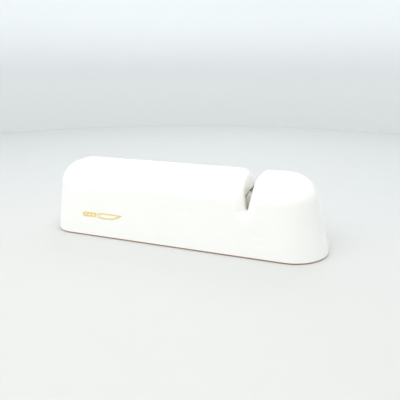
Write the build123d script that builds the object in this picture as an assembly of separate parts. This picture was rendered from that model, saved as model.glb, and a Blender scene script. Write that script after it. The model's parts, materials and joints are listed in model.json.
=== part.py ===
from build123d import *
from math import cos, radians, sin, tan
import os

# Counter-top roller knife sharpener. A knife is drawn front to back (along Y) through the slot, and its
# edge runs on two conical ceramic wheels whose toothed rims interleave under the slot.
# Millimetres. X runs along the body towards the slot end, Y from front to back, Z up. The origin is on the
# surface that the sharpener stands on, under the middle of the body.

# ---- body ----------------------------------------------------------------------------------------------
LENGTH = 170.0  # at the housing's lower rim
WIDTH = 46.4  # at the housing's lower rim
HEIGHT = 43.3  # standing surface to crest
WALL = 2.2
SIDE_DRAFT = 7.5  # degrees from vertical
LEFT_DRAFT = 4.5
RIGHT_DRAFT = 15.5
LEFT_CORNER = 15.0  # plan radius of the left end's corners
RIGHT_CORNER_RIM = 22.6  # plan radius of the right end, at the rim and at the crest
RIGHT_CORNER_CREST = 16.2
CREST_ROUND = 15.5  # radius from the walls into the top

# ---- blade slot ----------------------------------------------------------------------------------------
SLOT_X = 40.5
SLOT_FLOOR_Z = 24.0
SLOT_END_R = 0.65
SLOT_HALF_ANGLE = 9.0  # lean of each slot wall, degrees
SLOT_FLARE = 5.3  # rounding of the slot's whole mouth: front, top and back

# ---- base ----------------------------------------------------------------------------------------------
FOOT_PROUD = 0.3  # how far the rubber feet stand out under the base plate
EDGE_SHOWN = 0.5  # thickness of the base plate's edge that shows under the housing
EDGE_INSET = 0.45  # how far that edge stands back from the housing
SPIGOT_HEIGHT = 2.0  # part of the base plate that fits inside the housing
SPIGOT_GAP = 0.15
FOOT_R = 5.8
FOOT_POCKET_R = 6.0
FOOT_POCKET_DEPTH = 0.9
FOOT_X = 70.0
FOOT_LEFT_Y = 11.5
FOOT_RIGHT_Y = 7.0

# ---- screws --------------------------------------------------------------------------------------------
SCREW_R = 1.15
SCREW_CLEARANCE_R = 1.5
SCREW_HEAD_R = 2.6
SCREW_HEAD_HEIGHT = 1.3
SCREW_POINT = 1.2  # length of the pointed tip
SCREW_POCKET_R = 2.9
SCREW_POCKET_DEPTH = 1.5
CROSS_WIDTH = 0.7
CROSS_LENGTH = 3.0
CROSS_DEPTH = 0.8
BOSS_R = 3.2
BASE_SCREW_LENGTH = 10.5
BASE_SCREW_XY = [(-58.0, -12.0), (-58.0, 12.0), (60.5, -13.5), (60.5, 13.5)]
CARRIER_SCREW_LENGTH = 6.5
CARRIER_SCREW_DX = 12.6  # from the slot's middle
CARRIER_SCREW_DY = 6.4

# ---- wheels, measured from the axle and from the slot's middle plane -------------------------------------
AXLE_Z = 20.5
AXLE_R = 2.0
RUNNING_GAP = 0.05  # radial clearance of the hubs on the axle
WHEEL_R = 10.5
WHEEL_CHAMFER = 0.3
VERTEX_R = 5.5  # where the two cones meet and the knife edge runs
CONE_ANGLE = 20.0  # sharpening angle on each side of the blade, degrees
WHEEL_BACK = 5.0  # middle plane to a wheel's flat back
WHEEL_BORE_R = 3.6
TOOTH_BORE_R = 3.9
TOOTH_COUNT = 8
TOOTH_ANGLE = 18.0
TOOTH_DEPTH = 1.0  # depth of the gaps between teeth, below the middle plane

HUB_FLANGE_R = 6.5
HUB_FLANGE = 1.2
HUB_NOSE_R = 3.4
HUB_NOSE_GAP = 0.2  # middle plane to a hub's nose
SPACER_THICKNESS = 0.3
SPACER_R = 3.3
THRUST_R = 4.5
THRUST_THICKNESS = 0.4
END_GAP = 0.1  # play on each side of a thrust washer
CURVED_THICKNESS = 0.25
CURVED_R = 4.2
CURVED_RISE = 0.3

# ---- carrier -------------------------------------------------------------------------------------------
CARRIER_FLOOR = 1.8
CARRIER_HALF_X = 15.6
CARRIER_HALF_Y = 9.4
CARRIER_CORNER = 3.0
UPRIGHT = 2.5
UPRIGHT_HALF_Y = 7.0  # at the foot
UPRIGHT_R = 5.0  # round the axle
PILLAR_R = 2.7
PILLAR_HEIGHT = 6.6
GUSSET = 1.5
GUSSET_RISE = 8.0
RING_R = 3.4
RING_THICKNESS = 0.5
RING_GAP = 0.1
RING_MOUTH = 2.4
GROOVE_R = 1.6
GROOVE_WIDTH = 0.6
AXLE_END = 1.1  # axle beyond its rings
AXLE_CHAMFER = 0.4

# ---- levels and places worked out from these -----------------------------------------------------------
RIM_Z = FOOT_PROUD + EDGE_SHOWN
PLATE_TOP_Z = RIM_Z + SPIGOT_HEIGHT
SCREW_SEAT_Z = FOOT_PROUD + SCREW_POCKET_DEPTH
WINDOW_HALF_Y = WHEEL_R + 0.9
WINDOW_HALF_X = WHEEL_BACK + 1.0
WINDOW_TOP_Z = AXLE_Z + WHEEL_R + 1.0
HUB_OUTER = WHEEL_BACK + HUB_FLANGE
THRUST_OUTER = HUB_OUTER + END_GAP + THRUST_THICKNESS
LEFT_UPRIGHT_X = -(THRUST_OUTER + END_GAP)
RIGHT_UPRIGHT_X = THRUST_OUTER + END_GAP + CURVED_THICKNESS + CURVED_RISE + END_GAP / 2
CARRIER_SCREW_XY = [
    (SLOT_X + side * CARRIER_SCREW_DX, depth * CARRIER_SCREW_DY) for side in (-1, 1) for depth in (-1, 1)
]


# ---- housing -------------------------------------------------------------------------------------------
def outline(z, inset):
    """Plan outline of the drafted body at height z, drawn in by inset."""
    rise = z - RIM_Z
    half = WIDTH / 2 - rise * tan(radians(SIDE_DRAFT)) - inset
    left = -LENGTH / 2 + rise * tan(radians(LEFT_DRAFT)) + inset
    right = LENGTH / 2 - rise * tan(radians(RIGHT_DRAFT)) - inset
    share = rise / (HEIGHT - RIM_Z)
    near = LEFT_CORNER - inset
    far = RIGHT_CORNER_RIM + share * (RIGHT_CORNER_CREST - RIGHT_CORNER_RIM) - inset
    with BuildSketch(Plane.XY.offset(z)) as sketch:
        with BuildLine():
            front = Line((left + near, -half), (right - far, -half))
            end = RadiusArc(front @ 1, (right, far - half), -far)
            end_flat = Line(end @ 1, (right, half - far))
            RadiusArc(end_flat @ 1, (right - far, half), -far)
            back = Line((right - far, half), (left + near, half))
            corner = RadiusArc(back @ 1, (left, half - near), -near)
            left_flat = Line(corner @ 1, (left, near - half))
            RadiusArc(left_flat @ 1, front @ 0, -near)
        make_face()
    return sketch.sketch


def loaf(inset, bottom_z):
    """The drafted body with its rounded top, drawn in by inset on every side but the bottom."""
    top_z = HEIGHT - inset
    block = loft([outline(bottom_z, inset), outline(top_z, inset)], ruled=True)
    crest = block.faces().sort_by(Axis.Z)[-1]
    return fillet(crest.edges(), CREST_ROUND - inset)


def slot_cutter(grow):
    """The V-shaped slot with its round end, grown by grow, right through the body from front to back."""
    lean = radians(SLOT_HALF_ANGLE)
    radius = SLOT_END_R + grow
    centre_z = SLOT_FLOOR_Z + SLOT_END_R
    foot_x = radius * cos(lean)
    foot_z = centre_z - radius * sin(lean)
    top_z = HEIGHT + WALL
    top_x = foot_x + (top_z - foot_z) * tan(lean)
    with BuildSketch(Plane.XZ) as sketch:
        with BuildLine():
            wall = Line((SLOT_X - top_x, top_z), (SLOT_X - foot_x, foot_z))
            end = ThreePointArc(wall @ 1, (SLOT_X, centre_z - radius), (SLOT_X + foot_x, foot_z))
            Line(end @ 1, (SLOT_X + top_x, top_z))
            Line((SLOT_X + top_x, top_z), wall @ 0)
        make_face()
    return extrude(sketch.sketch, WIDTH / 2, both=True)


def slotted(body, grow):
    """Cuts the slot into the body and rounds the whole edge of its mouth."""
    cut = body - slot_cutter(grow)
    near_slot = cut.edges().filter_by_position(Axis.X, SLOT_X - SLOT_FLARE, SLOT_X + SLOT_FLARE)
    mouth = [edge for edge in near_slot if edge.length < WIDTH / 2]
    return fillet(mouth, SLOT_FLARE - grow)


def upright_hole(place, radius, low_z, high_z):
    """A vertical cylinder from low_z to high_z, for holes, pockets and bosses."""
    height = high_z - low_z
    return Pos(place[0], place[1], low_z + height / 2) * Cylinder(radius, height)


def make_housing():
    outside = slotted(loaf(0.0, RIM_Z), 0.0)
    inside = slotted(loaf(WALL, RIM_Z - 1.0), WALL)
    shell = outside - inside
    for place in BASE_SCREW_XY:
        shell += upright_hole(place, BOSS_R, PLATE_TOP_Z, HEIGHT) & outside
    for place in BASE_SCREW_XY:
        shell -= upright_hole(place, SCREW_R, RIM_Z, SCREW_SEAT_Z + BASE_SCREW_LENGTH)
    window_low_z = SLOT_FLOOR_Z - 2 * WALL
    window = Box(2 * WINDOW_HALF_X, 2 * WINDOW_HALF_Y, WINDOW_TOP_Z - window_low_z)
    return shell - Pos(SLOT_X, 0, (WINDOW_TOP_Z + window_low_z) / 2) * window


# ---- base, feet and screws -----------------------------------------------------------------------------
def foot_places():
    return {
        "foot_front_left": (-FOOT_X, -FOOT_LEFT_Y),
        "foot_rear_left": (-FOOT_X, FOOT_LEFT_Y),
        "foot_front_right": (FOOT_X, -FOOT_RIGHT_Y),
        "foot_rear_right": (FOOT_X, FOOT_RIGHT_Y),
    }


def make_base_plate():
    edge = extrude(Pos(0, 0, FOOT_PROUD - RIM_Z) * outline(RIM_Z, EDGE_INSET), EDGE_SHOWN)
    inset = WALL + SPIGOT_GAP
    plate = edge + loft([outline(RIM_Z, inset), outline(PLATE_TOP_Z, inset)], ruled=True)
    for place in foot_places().values():
        plate -= upright_hole(place, FOOT_POCKET_R, 0.0, FOOT_PROUD + FOOT_POCKET_DEPTH)
    for place in BASE_SCREW_XY + CARRIER_SCREW_XY:
        plate -= upright_hole(place, SCREW_CLEARANCE_R, 0.0, PLATE_TOP_Z)
        plate -= upright_hole(place, SCREW_POCKET_R, 0.0, SCREW_SEAT_Z)
    return plate


def make_foot(place):
    foot = upright_hole(place, FOOT_R, 0.0, FOOT_PROUD + FOOT_POCKET_DEPTH)
    return chamfer(foot.edges().group_by(Axis.Z)[0], FOOT_PROUD / 2)


def make_screws(places, length):
    """Cross-head self-tapping screws, put in from below."""
    head_z = SCREW_SEAT_Z - SCREW_HEAD_HEIGHT
    cross = Pos(0, 0, CROSS_DEPTH / 2) * (
        Box(CROSS_LENGTH, CROSS_WIDTH, CROSS_DEPTH) + Box(CROSS_WIDTH, CROSS_LENGTH, CROSS_DEPTH)
    )
    screws = []
    for x, y in places:
        head = upright_hole((x, y), SCREW_HEAD_R, head_z, SCREW_SEAT_Z)
        head = chamfer(head.edges().group_by(Axis.Z)[0], SCREW_HEAD_HEIGHT / 3)
        shank = upright_hole((x, y), SCREW_R, SCREW_SEAT_Z, SCREW_SEAT_Z + length - SCREW_POINT)
        tip_z = SCREW_SEAT_Z + length - SCREW_POINT / 2
        tip = Pos(x, y, tip_z) * Cone(SCREW_R, SCREW_R / 4, SCREW_POINT)
        screws.append(head + shank + tip - Pos(x, y, head_z) * cross)
    return Compound(children=[screw.solid() for screw in screws])


# ---- wheels and what turns with them -------------------------------------------------------------------
def turned(points):
    """A turned piece from its half profile: (place along the axle, radius) pairs."""
    profile = make_face(Polyline([(x, 0, r) for x, r in points], close=True))
    return revolve(profile, Axis.X)


def ring(low_x, high_x, inner_r, outer_r):
    return turned([(low_x, inner_r), (high_x, inner_r), (high_x, outer_r), (low_x, outer_r)])


def left_wheel():
    """The left wheel about the X axis, with its middle plane at X = 0."""
    slope = tan(radians(CONE_ANGLE))
    rim_x = -(WHEEL_R - VERTEX_R) * slope
    tooth_x = (VERTEX_R - TOOTH_BORE_R) * slope
    wheel = turned(
        [
            (-WHEEL_BACK, WHEEL_BORE_R),
            (-WHEEL_BACK, WHEEL_R - WHEEL_CHAMFER),
            (-WHEEL_BACK + WHEEL_CHAMFER, WHEEL_R),
            (rim_x, WHEEL_R),
            (tooth_x, TOOTH_BORE_R),
            (-TOOTH_DEPTH, TOOTH_BORE_R),
            (-TOOTH_DEPTH, WHEEL_BORE_R),
        ]
    )
    pitch = 360.0 / TOOTH_COUNT
    spread = WHEEL_R * tan(radians((pitch - TOOTH_ANGLE) / 2))
    wedge = make_face(Polyline((0, 0), (WHEEL_R, -spread), (WHEEL_R, spread), close=True))
    gap = extrude(Plane.YZ.offset(-TOOTH_DEPTH) * wedge, 2 * TOOTH_DEPTH)
    for index in range(TOOTH_COUNT):
        wheel -= Rot(pitch * (index + 0.5), 0, 0) * gap
    return wheel


def left_hub():
    bore = AXLE_R + RUNNING_GAP
    return turned(
        [
            (-HUB_OUTER, bore),
            (-HUB_OUTER, HUB_FLANGE_R),
            (-WHEEL_BACK, HUB_FLANGE_R),
            (-WHEEL_BACK, WHEEL_BORE_R),
            (-TOOTH_DEPTH, WHEEL_BORE_R),
            (-TOOTH_DEPTH, HUB_NOSE_R),
            (-HUB_NOSE_GAP, HUB_NOSE_R),
            (-HUB_NOSE_GAP, bore),
        ]
    )


def other_side(piece):
    """The right-hand piece: the left one mirrored and turned half a tooth, so that the teeth interleave."""
    return Rot(180.0 / TOOTH_COUNT, 0, 0) * mirror(piece, Plane.YZ)


def spacer_washer():
    return ring(-SPACER_THICKNESS / 2, SPACER_THICKNESS / 2, AXLE_R + RUNNING_GAP, SPACER_R)


def thrust_washer():
    return ring(-THRUST_OUTER, THRUST_THICKNESS - THRUST_OUTER, AXLE_R + RUNNING_GAP, THRUST_R)


def curved_washer():
    """A spring washer bent to one cylinder, between the right thrust washer and the carrier."""
    bend = (CURVED_R**2 + CURVED_RISE**2) / (2 * CURVED_RISE)
    crown_x = THRUST_OUTER + END_GAP + CURVED_RISE + CURVED_THICKNESS
    blank = ring(THRUST_OUTER, crown_x + 1.0, AXLE_R + 2 * RUNNING_GAP, CURVED_R)
    centre = Pos(crown_x - bend, 0, 0)
    tube = Cylinder(bend, 3 * CURVED_R) - Cylinder(bend - CURVED_THICKNESS, 3 * CURVED_R)
    return blank & (centre * tube)


# ---- axle and carrier ----------------------------------------------------------------------------------
def ring_places():
    """Inner face of each retaining ring along the axle, and the direction outwards."""
    return [
        (LEFT_UPRIGHT_X - UPRIGHT - RING_GAP, -1),
        (RIGHT_UPRIGHT_X + UPRIGHT + RING_GAP, 1),
    ]


def make_axle():
    ends = [face_x + out * (RING_THICKNESS + AXLE_END) for face_x, out in ring_places()]
    axle = ring(ends[0], ends[1], 0.0, AXLE_R)
    axle = chamfer(axle.edges().filter_by(GeomType.CIRCLE), AXLE_CHAMFER)
    for face_x, out in ring_places():
        centre_x = face_x + out * RING_THICKNESS / 2
        axle -= ring(centre_x - GROOVE_WIDTH / 2, centre_x + GROOVE_WIDTH / 2, GROOVE_R, WHEEL_R)
    return axle


def make_retaining_ring(face_x, out):
    """An open clip that sits in the axle's groove, with its mouth downwards."""
    low_x, high_x = sorted((face_x, face_x + out * RING_THICKNESS))
    mouth = Box(2 * RING_THICKNESS, RING_MOUTH, RING_R)
    return ring(low_x, high_x, GROOVE_R, RING_R) - Pos((low_x + high_x) / 2, 0, -RING_R / 2) * mouth


def make_upright(inner_x, out):
    """One cheek of the carrier: a tapered plate with a round head for the axle, and its gusset."""
    foot_z = PLATE_TOP_Z + CARRIER_FLOOR
    plate = make_face(
        Polyline(
            (-UPRIGHT_HALF_Y, foot_z),
            (UPRIGHT_HALF_Y, foot_z),
            (UPRIGHT_R, AXLE_Z),
            (-UPRIGHT_R, AXLE_Z),
            close=True,
        )
    )
    head = Pos(0, AXLE_Z) * Circle(UPRIGHT_R)
    cheek = extrude(Plane.YZ.offset(min(inner_x, inner_x + out * UPRIGHT)) * (plate + head), UPRIGHT)
    outer_x = inner_x + out * UPRIGHT
    reach = out * (CARRIER_HALF_X - abs(outer_x))
    web = make_face(
        Polyline((outer_x, foot_z), (outer_x + reach, foot_z), (outer_x, foot_z + GUSSET_RISE), close=True)
    )
    return cheek + extrude(Plane.XZ * web, GUSSET / 2, both=True)


def make_carrier():
    floor = RectangleRounded(2 * CARRIER_HALF_X, 2 * CARRIER_HALF_Y, CARRIER_CORNER)
    carrier = extrude(Pos(0, 0, PLATE_TOP_Z) * floor, CARRIER_FLOOR)
    carrier += make_upright(LEFT_UPRIGHT_X, -1) + make_upright(RIGHT_UPRIGHT_X, 1)
    carrier -= Pos(0, 0, AXLE_Z) * ring(-CARRIER_HALF_X, CARRIER_HALF_X, 0.0, AXLE_R)
    carrier = Pos(SLOT_X, 0, 0) * carrier
    for place in CARRIER_SCREW_XY:
        carrier += upright_hole(place, PILLAR_R, PLATE_TOP_Z, PLATE_TOP_Z + PILLAR_HEIGHT)
        carrier -= upright_hole(place, SCREW_R, PLATE_TOP_Z, SCREW_SEAT_Z + CARRIER_SCREW_LENGTH)
    return carrier


# ---- the pieces by name --------------------------------------------------------------------------------
on_axle = Pos(SLOT_X, 0, AXLE_Z)
clips = ring_places()

parts = {
    "housing": make_housing(),
    "base_plate": make_base_plate(),
    "base_screws": make_screws(BASE_SCREW_XY, BASE_SCREW_LENGTH),
    "carrier_screws": make_screws(CARRIER_SCREW_XY, CARRIER_SCREW_LENGTH),
    "wheel_carrier": make_carrier(),
    "axle": on_axle * make_axle(),
    "retaining_ring_left": on_axle * make_retaining_ring(*clips[0]),
    "retaining_ring_right": on_axle * make_retaining_ring(*clips[1]),
    "wheel_left": on_axle * left_wheel(),
    "wheel_right": on_axle * other_side(left_wheel()),
    "wheel_hub_left": on_axle * left_hub(),
    "wheel_hub_right": on_axle * other_side(left_hub()),
    "spacer_washer": on_axle * spacer_washer(),
    "thrust_washer_left": on_axle * thrust_washer(),
    "thrust_washer_right": on_axle * mirror(thrust_washer(), Plane.YZ),
    "curved_washer": on_axle * curved_washer(),
}
for name, place in foot_places().items():
    parts[name] = make_foot(place)

os.makedirs("parts", exist_ok=True)
for name, part in parts.items():
    export_step(part, f"parts/{name}.step")
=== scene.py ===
import json
import math

import bmesh
import bpy
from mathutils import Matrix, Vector


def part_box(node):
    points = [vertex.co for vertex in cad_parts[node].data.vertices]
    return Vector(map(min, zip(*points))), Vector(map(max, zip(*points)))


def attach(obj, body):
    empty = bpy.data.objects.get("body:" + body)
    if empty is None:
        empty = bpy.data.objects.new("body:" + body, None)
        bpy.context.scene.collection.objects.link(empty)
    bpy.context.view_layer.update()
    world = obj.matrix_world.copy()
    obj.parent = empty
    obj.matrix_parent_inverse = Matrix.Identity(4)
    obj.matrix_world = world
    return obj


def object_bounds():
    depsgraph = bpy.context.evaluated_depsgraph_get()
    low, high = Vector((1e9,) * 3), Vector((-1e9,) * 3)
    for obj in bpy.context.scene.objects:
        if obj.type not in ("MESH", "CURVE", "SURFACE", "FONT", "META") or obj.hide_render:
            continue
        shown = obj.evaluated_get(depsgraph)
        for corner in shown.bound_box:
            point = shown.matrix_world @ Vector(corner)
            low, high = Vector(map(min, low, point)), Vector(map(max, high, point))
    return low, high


# Looks of the counter-top roller knife sharpener. Metres; X along the body towards the slot end,
# Y from front to back, Z up. The CAD bodies are the frame. This script adds their materials, the
# printed mark, the floor, the light and the camera.
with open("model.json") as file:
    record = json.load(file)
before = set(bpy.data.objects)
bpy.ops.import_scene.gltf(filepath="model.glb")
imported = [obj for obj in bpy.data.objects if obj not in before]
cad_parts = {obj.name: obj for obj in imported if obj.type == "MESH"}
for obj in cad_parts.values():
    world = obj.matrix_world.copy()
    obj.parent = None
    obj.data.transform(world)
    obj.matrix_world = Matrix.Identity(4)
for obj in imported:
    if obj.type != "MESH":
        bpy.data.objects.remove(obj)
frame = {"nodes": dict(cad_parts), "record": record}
cad_low, cad_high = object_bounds()

MM = 0.001

# ---- places read from the frame --------------------------------------------------------------
HOUSING_LEFT_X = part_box("housing")[0].x
WHEEL_TOP_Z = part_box("wheel_left")[1].z
AXLE_Z = sum(corner.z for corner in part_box("axle")) / 2
SLOT_X = sum(corner.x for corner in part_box("spacer_washer")) / 2
SLOT_LOW_Z = AXLE_Z + 4.5 * MM  # the slot's round end is a little above this


# ---- node helpers ----------------------------------------------------------------------------
class Surface:
    """A Principled material, and the node chains for its colour, roughness and bump."""

    def __init__(self, name, **values):
        self.material = bpy.data.materials.new(name)
        self.material.use_nodes = True
        self.nodes = self.material.node_tree.nodes
        self.shader = self.nodes["Principled BSDF"]
        for socket, value in values.items():
            self.shader.inputs[socket.replace("_", " ")].default_value = value
        self.place = self.node("ShaderNodeTexCoord").outputs["Object"]

    def node(self, kind, **settings):
        node = self.nodes.new(kind)
        for key, value in settings.items():
            setattr(node, key, value)
        return node

    def join(self, output, target):
        self.material.node_tree.links.new(output, target)

    def stretched(self, scale):
        """The object's own coordinates, multiplied by scale on each axis."""
        mapping = self.node("ShaderNodeMapping")
        mapping.inputs["Scale"].default_value = scale
        self.join(self.place, mapping.inputs["Vector"])
        return mapping.outputs["Vector"]

    def noise(self, scale, detail=2.0):
        """Noise whose grain is 1 / scale metres; scale is one number, or one for each axis."""
        texture = self.node("ShaderNodeTexNoise")
        texture.inputs["Detail"].default_value = detail
        if isinstance(scale, tuple):
            texture.inputs["Scale"].default_value = 1.0
            self.join(self.stretched(scale), texture.inputs["Vector"])
        else:
            texture.inputs["Scale"].default_value = scale
            self.join(self.place, texture.inputs["Vector"])
        return texture.outputs["Fac"]

    def spread(self, value, low, high, to_low=0.0, to_high=1.0):
        """Maps low..high onto to_low..to_high, and stops at both ends."""
        mapped = self.node("ShaderNodeMapRange", interpolation_type="SMOOTHSTEP")
        limits = {"From Min": low, "From Max": high, "To Min": to_low, "To Max": to_high}
        for key, number in limits.items():
            mapped.inputs[key].default_value = number
        self.join(value, mapped.inputs["Value"])
        return mapped.outputs["Result"]

    def maths(self, operation, first, second=None):
        node = self.node("ShaderNodeMath", operation=operation)
        for index, value in enumerate((first, second)):
            if isinstance(value, (int, float)):
                node.inputs[index].default_value = value
            elif value is not None:
                self.join(value, node.inputs[index])
        return node.outputs["Value"]

    def axis(self, letter):
        split = self.node("ShaderNodeSeparateXYZ")
        self.join(self.place, split.inputs["Vector"])
        return split.outputs[letter]

    def near_slot(self, inner, outer):
        """1 within inner of the slot's middle plane, falling to 0 at outer."""
        across = self.maths("ABSOLUTE", self.maths("SUBTRACT", self.axis("X"), SLOT_X))
        return self.spread(across, inner, outer, 1.0, 0.0)

    def mixed(self, share, first, second):
        """The first colour where share is 0, the second where it is 1. Either may be an output."""
        mix = self.node("ShaderNodeMix", data_type="RGBA")
        self.join(share, mix.inputs["Factor"])
        colour_inputs = [socket for socket in mix.inputs if socket.type == "RGBA"]
        for socket, value in zip(colour_inputs, (first, second)):
            if isinstance(value, tuple):
                socket.default_value = (*value, 1.0)
            else:
                self.join(value, socket)
        return [socket for socket in mix.outputs if socket.type == "RGBA"][0]

    def colour(self, output):
        self.join(output, self.shader.inputs["Base Color"])

    def roughness(self, output):
        self.join(output, self.shader.inputs["Roughness"])

    def bump(self, height, depth, strength):
        """Bump that is depth metres deep where height is 1."""
        bump = self.node("ShaderNodeBump")
        bump.inputs["Strength"].default_value = strength
        bump.inputs["Distance"].default_value = depth
        self.join(height, bump.inputs["Height"])
        self.join(bump.outputs["Normal"], self.shader.inputs["Normal"])


# ---- materials -------------------------------------------------------------------------------
def housing_surface():
    """Glossy warm-white moulded plastic, faintly mottled, with hairline scuffs, and faint metal
    traces with painted shade deep in the slot.
    """
    look = Surface("housing_gloss_white", IOR=1.5)
    base = look.mixed(look.noise(45.0, detail=3.0), (0.925, 0.917, 0.89), (0.95, 0.945, 0.922))
    # Deep in the slot, near its middle plane, the colour turns a streaky warm grey: partly metal
    # traces from blades, partly painted shade.
    above_end = look.spread(look.axis("Z"), SLOT_LOW_Z, SLOT_LOW_Z + 2 * MM)
    deep = look.spread(look.axis("Z"), WHEEL_TOP_Z - 2 * MM, WHEEL_TOP_Z + 8 * MM, 1.0, 0.0)
    streaks = look.spread(look.noise((1400.0, 90.0, 900.0), detail=4.0), 0.35, 0.75)
    across = look.maths("MULTIPLY", look.near_slot(1.2 * MM, 3.4 * MM), streaks)
    traces_and_painted_shade = look.maths("MULTIPLY", across, look.maths("MULTIPLY", deep, above_end))
    look.colour(look.mixed(look.maths("MULTIPLY", traces_and_painted_shade, 0.06), base, (0.72, 0.69, 0.60)))
    scuffs = look.spread(look.noise((70.0, 2600.0, 2600.0), detail=2.0), 0.62, 0.72)
    worn = look.maths("MULTIPLY", scuffs, look.spread(look.noise(28.0), 0.45, 0.65))
    plain = look.spread(look.noise(160.0, detail=3.0), 0.3, 0.7, 0.2, 0.27)
    look.roughness(look.maths("ADD", plain, look.maths("MULTIPLY", worn, 0.16)))
    look.bump(look.noise(520.0, detail=1.0), 0.02 * MM, 0.35)
    return look.material


def moulded_surface(name, dark, light, roughness, grain, depth):
    """Satin moulded plastic with a spark-eroded grain."""
    look = Surface(name, IOR=1.48)
    look.colour(look.mixed(look.noise(90.0, detail=3.0), dark, light))
    fine = look.noise(grain, detail=2.0)
    look.roughness(look.spread(fine, 0.3, 0.7, roughness - 0.06, roughness + 0.08))
    look.bump(fine, depth, 0.6)
    return look.material


def ceramic_surface():
    """Fine ground ceramic: speckled off-white, with faint metal traces where blades run."""
    look = Surface("wheel_ground_ceramic", IOR=1.6)
    speckle = look.spread(look.noise(2600.0, detail=3.0), 0.35, 0.65)
    base = look.mixed(speckle, (0.90, 0.885, 0.79), (0.94, 0.93, 0.85))
    traces = look.spread(look.noise(900.0, detail=4.0), 0.4, 0.62)
    metal = look.maths("MULTIPLY", look.near_slot(0.2 * MM, 1.9 * MM), traces)
    look.colour(look.mixed(look.maths("MULTIPLY", metal, 0.08), base, (0.50, 0.50, 0.48)))
    look.roughness(look.spread(speckle, 0.0, 1.0, 0.5, 0.68))
    look.bump(look.noise(5200.0, detail=2.0), 0.02 * MM, 0.5)
    return look.material


def steel_surface(name, colour, scale, roughness):
    """Steel with fine tool marks; scale says how the marks are stretched along each axis."""
    look = Surface(name, Metallic=1.0)
    marks = look.noise(scale, detail=3.0)
    shade = tuple(channel * 0.86 for channel in colour)
    look.colour(look.mixed(marks, shade, colour))
    look.roughness(look.spread(marks, 0.3, 0.7, roughness - 0.07, roughness + 0.1))
    look.bump(marks, 0.006 * MM, 0.4)
    return look.material


def rubber_surface():
    """Soft grey rubber with a matt moulded grain and paler dust on it."""
    look = Surface("foot_soft_rubber", IOR=1.45)
    dust = look.spread(look.noise(700.0, detail=4.0), 0.5, 0.75)
    look.colour(look.mixed(dust, (0.16, 0.16, 0.158), (0.29, 0.285, 0.27)))
    look.roughness(look.spread(dust, 0.0, 1.0, 0.72, 0.92))
    look.bump(look.noise(3400.0, detail=2.0), 0.03 * MM, 0.6)
    return look.material


def print_surface():
    """Gold pad-printing ink: a thin satin film that is a little uneven."""
    look = Surface("mark_pad_print_ink", IOR=1.5)
    cover = look.noise(1500.0, detail=3.0)
    look.colour(look.mixed(cover, (0.79, 0.60, 0.20), (0.85, 0.67, 0.27)))
    look.roughness(look.spread(cover, 0.3, 0.7, 0.34, 0.48))
    look.bump(cover, 0.004 * MM, 0.4)
    return look.material


def floor_surface():
    """Pale worktop: neutral in front, cooler behind, with painted light that makes it lighter where
    it turns up into the wall.
    """
    look = Surface("stage_floor_pale")
    behind = look.spread(look.axis("Y"), -0.1, 0.15)
    ground = look.mixed(behind, (0.606, 0.61, 0.60), (0.595, 0.611, 0.617))
    # Painted light: the wall gets a much paler colour than the flat floor, standing in for the
    # light it lacks.
    raised = look.spread(look.axis("Z"), 0.0, 0.2)
    look.colour(look.mixed(raised, ground, (0.825, 0.857, 0.88)))
    look.roughness(look.spread(look.noise(40.0), 0.3, 0.7, 0.6, 0.7))
    return look.material


slot_looks = {
    "housing_gloss": housing_surface(),
    "base_tint": moulded_surface(
        name="base_orange_plastic",
        dark=(0.60, 0.22, 0.06),
        light=(0.68, 0.27, 0.09),
        roughness=0.42,
        grain=1700.0,
        depth=0.02 * MM,
    ),
    "carrier_plastic": moulded_surface(
        name="carrier_offwhite_plastic",
        dark=(0.74, 0.73, 0.69),
        light=(0.80, 0.79, 0.75),
        roughness=0.5,
        grain=1900.0,
        depth=0.02 * MM,
    ),
    "hub_plastic": moulded_surface(
        name="hub_natural_acetal",
        dark=(0.66, 0.655, 0.63),
        light=(0.72, 0.715, 0.69),
        roughness=0.36,
        grain=2400.0,
        depth=0.01 * MM,
    ),
    "wheel_ceramic": ceramic_surface(),
    "pin_steel": steel_surface(
        name="pin_turned_steel",
        colour=(0.66, 0.66, 0.67),
        scale=(9000.0, 300.0, 300.0),
        roughness=0.28,
    ),
    "screw_steel": steel_surface(
        name="screw_zinc_plated_steel",
        colour=(0.60, 0.61, 0.62),
        scale=(1500.0, 1500.0, 1500.0),
        roughness=0.34,
    ),
    "foot_rubber": rubber_surface(),
}
slot_of = {part["node"]: part["material_slot"] for part in frame["record"]["subparts"]}
for node_name, node_object in frame["nodes"].items():
    for material_slot in node_object.material_slots:
        material_slot.material = slot_looks[slot_of[node_name]]

# ---- printed mark: a generic knife pictogram, laid on the drafted front face -----------------
MARK_LEFT = HOUSING_LEFT_X + 24.6 * MM
MARK_LENGTH = 27.2 * MM
MARK_LOW_Z = 11.4 * MM
MARK_HEIGHT = 3.8 * MM
INK_PROUD = 0.03 * MM
INK_SUNK = 0.02 * MM
RAY_START_Y = cad_low.y - 50 * MM


def front_y(x, z):
    """Where the housing's front face is at x and z."""
    housing = frame["nodes"]["housing"]
    hit, point, _, _ = housing.ray_cast(Vector((x, RAY_START_Y, z)), Vector((0, 1, 0)))
    if not hit:
        raise ValueError(f"the housing has no front face at {x}, {z}")
    return point.y


def arc(centre, radius, start, stop, steps):
    """Points on an arc, angles in degrees."""
    angles = [math.radians(start + (stop - start) * step / steps) for step in range(steps + 1)]
    return [(centre[0] + radius * math.cos(a), centre[1] + radius * math.sin(a)) for a in angles]


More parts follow.
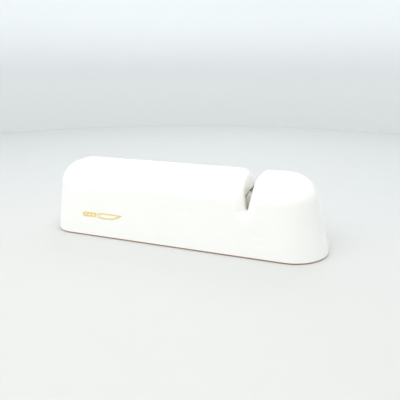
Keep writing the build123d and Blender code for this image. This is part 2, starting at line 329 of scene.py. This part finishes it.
def mark_pieces():
    """Each piece's outline and holes, in units of the mark's height; the blade is an outline."""
    tip = (MARK_LENGTH / MARK_HEIGHT, 0.88)
    grip = arc((0.4, 0.5), 0.4, 90, 270, 10) + [(1.4, 0.16), (2.5, 0.2), (2.5, 0.9)]
    rivets = [arc((x, 0.52), 0.15, 0, 315, 7) for x in (0.55, 1.25, 1.95)]
    bolster = [(2.66, 0.12), (2.88, 0.12), (2.88, 0.9), (2.66, 0.9)]
    edge = [(3.04, 0.05), (3.6, 0.0), (4.6, 0.0), (5.4, 0.08), (6.1, 0.26), (6.7, 0.52), tip]
    spine = [(6.2, 0.92), (5.0, 0.96), (3.04, 0.96)]
    hollow_edge = [(3.26, 0.27), (4.6, 0.22), (5.4, 0.3), (6.0, 0.46), (6.42, 0.7)]
    hollow_spine = [(5.0, 0.75), (3.26, 0.75)]
    return {
        "mark_grip": (grip, rivets),
        "mark_bolster": (bolster, []),
        "mark_blade": (edge + spine, [hollow_edge + hollow_spine]),
    }


def put_in_order(elements, place):
    """Sorts a mesh's vertices or faces by place, so that they are in the same order on each run."""
    for index, element in enumerate(sorted(elements, key=place)):
        element.index = index
    elements.sort()


def ink_piece(name, outline, holes, ink):
    """A closed film of ink with the given outline and holes, in units of the mark's height."""
    mesh = bmesh.new()
    loops = [[mesh.verts.new((x, z, 0.0)) for x, z in ring] for ring in (outline, *holes)]
    edges = [
        mesh.edges.new((start, end))
        for loop in loops
        for start, end in zip(loop, loop[1:] + loop[:1])
    ]
    bmesh.ops.triangle_fill(mesh, use_beauty=True, use_dissolve=False, edges=edges)
    bmesh.ops.subdivide_edges(mesh, edges=mesh.edges[:], cuts=1)
    top = bmesh.ops.extrude_face_region(mesh, geom=mesh.faces[:])
    raised = {element for element in top["geom"] if isinstance(element, bmesh.types.BMVert)}
    for vertex in mesh.verts:
        x = MARK_LEFT + vertex.co.x * MARK_HEIGHT
        z = MARK_LOW_Z + vertex.co.y * MARK_HEIGHT
        offset = -INK_PROUD if vertex in raised else INK_SUNK
        vertex.co = (x, front_y(x, z) + offset, z)
    bmesh.ops.recalc_face_normals(mesh, faces=mesh.faces[:])
    put_in_order(mesh.verts, lambda vertex: tuple(vertex.co))
    put_in_order(mesh.faces, lambda face: tuple(face.calc_center_median()))
    data = bpy.data.meshes.new(name)
    mesh.to_mesh(data)
    mesh.free()
    data.materials.append(ink)
    piece = bpy.data.objects.new(name, data)
    bpy.context.scene.collection.objects.link(piece)
    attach(piece, "sharpener_body")


mark_ink = print_surface()
for piece_name, (piece_outline, piece_holes) in mark_pieces().items():
    ink_piece(piece_name, piece_outline, piece_holes, mark_ink)

# ---- camera ----------------------------------------------------------------------------------
CAMERA_AZIMUTH = math.radians(19.26)
CAMERA_ELEVATION = math.radians(17.62)
CAMERA_DISTANCE = 247.7 * MM
CAMERA_LENS = 36.96
CAMERA_TARGET = Vector((8.4 * MM, 0.0, 22.8 * MM))

camera = bpy.data.objects.new("camera", bpy.data.cameras.new("camera"))
bpy.context.scene.collection.objects.link(camera)
bpy.context.scene.camera = camera
camera.data.lens = CAMERA_LENS
camera.data.clip_start = 5 * MM
towards = Vector(
    (
        math.sin(CAMERA_AZIMUTH) * math.cos(CAMERA_ELEVATION),
        -math.cos(CAMERA_AZIMUTH) * math.cos(CAMERA_ELEVATION),
        math.sin(CAMERA_ELEVATION),
    )
)
camera.location = CAMERA_TARGET + towards * CAMERA_DISTANCE
camera.rotation_euler = towards.to_track_quat("Z", "Y").to_euler()

# ---- floor: a pale round sweep, flat round the object and curving up into a wall -------------
FLOOR_RADIUS = 0.52
SWEEP_RADIUS = 0.10
SWEEP_STEPS = 10
WALL_HEIGHT = 0.9
SEGMENTS = 96


def sweep_profile():
    """(radius, height) from the edge of the flat floor up to the wall's top."""
    curve = []
    for step in range(SWEEP_STEPS + 1):
        angle = math.radians(step * 90 / SWEEP_STEPS)
        out, up = math.sin(angle), 1 - math.cos(angle)
        curve.append((FLOOR_RADIUS + SWEEP_RADIUS * out, SWEEP_RADIUS * up))
    return curve + [(FLOOR_RADIUS + SWEEP_RADIUS, WALL_HEIGHT)]


def make_floor():
    """The flat disc first, then one ring of faces for each step of the profile."""
    profile = sweep_profile()
    turn = [2 * math.pi * step / SEGMENTS for step in range(SEGMENTS)]
    points = [(r * math.cos(a), r * math.sin(a), z) for r, z in profile for a in turn]
    faces = [tuple(range(SEGMENTS))]
    for start in range(0, (len(profile) - 1) * SEGMENTS, SEGMENTS):
        for step in range(SEGMENTS):
            here, ahead = start + step, start + (step + 1) % SEGMENTS
            faces.append((here, ahead, ahead + SEGMENTS, here + SEGMENTS))
    mesh = bpy.data.meshes.new("floor")
    mesh.from_pydata(points, [], faces)
    for face in mesh.polygons[1:]:
        face.use_smooth = True
    mesh.materials.append(floor_surface())
    floor = bpy.data.objects.new("floor", mesh)
    bpy.context.scene.collection.objects.link(floor)


make_floor()

# ---- light -----------------------------------------------------------------------------------
LIGHT_COLOUR = (1.0, 0.99, 0.97)
LIGHT_TARGET = Vector((0.0, 0.0, 0.02))
WORLD_COLOUR = (1.0, 0.99, 0.968, 1.0)
WORLD_STRENGTH = 0.76


def area_light(name, place, size, power):
    """A softbox at place, size metres wide and high, aimed at the object."""
    data = bpy.data.lights.new(name, "AREA")
    data.shape = "RECTANGLE"
    data.size, data.size_y = size
    data.energy = power
    data.color = LIGHT_COLOUR
    light = bpy.data.objects.new(name, data)
    bpy.context.scene.collection.objects.link(light)
    light.location = place
    light.rotation_euler = (Vector(place) - LIGHT_TARGET).to_track_quat("Z", "Y").to_euler()


world = bpy.data.worlds.new("studio")
world.use_nodes = True
background = world.node_tree.nodes["Background"]
background.inputs["Color"].default_value = WORLD_COLOUR
background.inputs["Strength"].default_value = WORLD_STRENGTH
bpy.context.scene.world = world
area_light("key_softbox", (-0.32, -0.34, 0.62), (0.5, 0.4), 1.6)
area_light("top_softbox", (0.06, -0.02, 0.7), (0.4, 0.4), 1.92)
area_light("front_softbox", (-0.05, -0.52, 0.30), (0.5, 0.3), 0.22)
area_light("back_softbox", (0.0, 0.45, 0.45), (0.6, 0.3), 0.5)
bpy.context.scene.view_settings.view_transform = "Standard"
